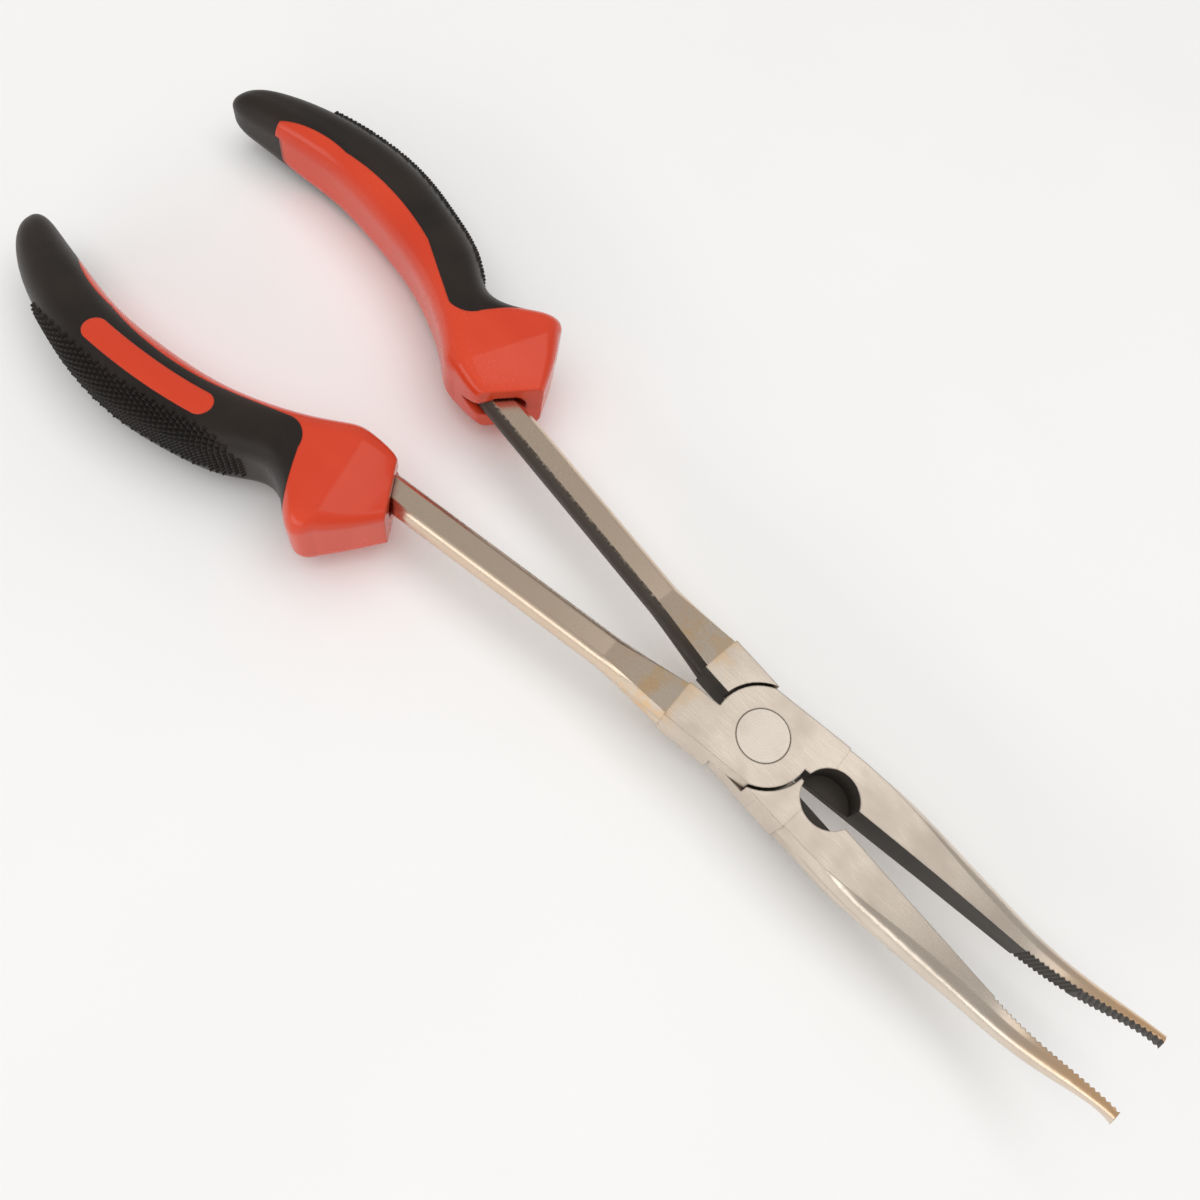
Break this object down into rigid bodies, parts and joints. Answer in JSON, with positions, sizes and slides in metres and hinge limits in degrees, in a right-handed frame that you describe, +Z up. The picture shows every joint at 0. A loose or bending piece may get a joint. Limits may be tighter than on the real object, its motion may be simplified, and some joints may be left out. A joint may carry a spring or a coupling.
{
  "type": "needle nose pliers",
  "caption": "Long-reach bent-nose pliers with a flush rivet joint, a round pipe recess behind cross-toothed jaws, and red grips with black soft covers.",
  "frame": {"origin": "the pivot axis where it leaves the underside of the joint", "axes": "+X towards the tips along the middle of the open jaws, +Y towards the side of the front lever's jaw, +Z up along the pivot axis, the way the tips are bent"},
  "size_m": [0.2809, 0.0892, 0.0235],
  "materials": {
    "steel": "satin nickel-chrome plating, warm in tone",
    "rivet_steel": "ground flush and plated with the joint",
    "hard_red": "glossy orange-red moulding",
    "soft_black": "satin soft overmoulding"
  },
  "bodies": {
    "rear_half": {"rear_lever": "steel", "pivot_rivet": "rivet_steel", "rear_grip_core": "hard_red", "rear_grip_cover": "soft_black"},
    "front_half": {"front_lever": "steel", "front_grip_core": "hard_red", "front_grip_cover": "soft_black"}
  },
  "joints": [
    {"name": "pivot", "type": "hinge", "parent": "rear_half", "child": "front_half", "pos_m": [0, 0, 0.0045], "axis": [0, 0, 1], "range_deg": [-9.6, 35]}
  ]
}
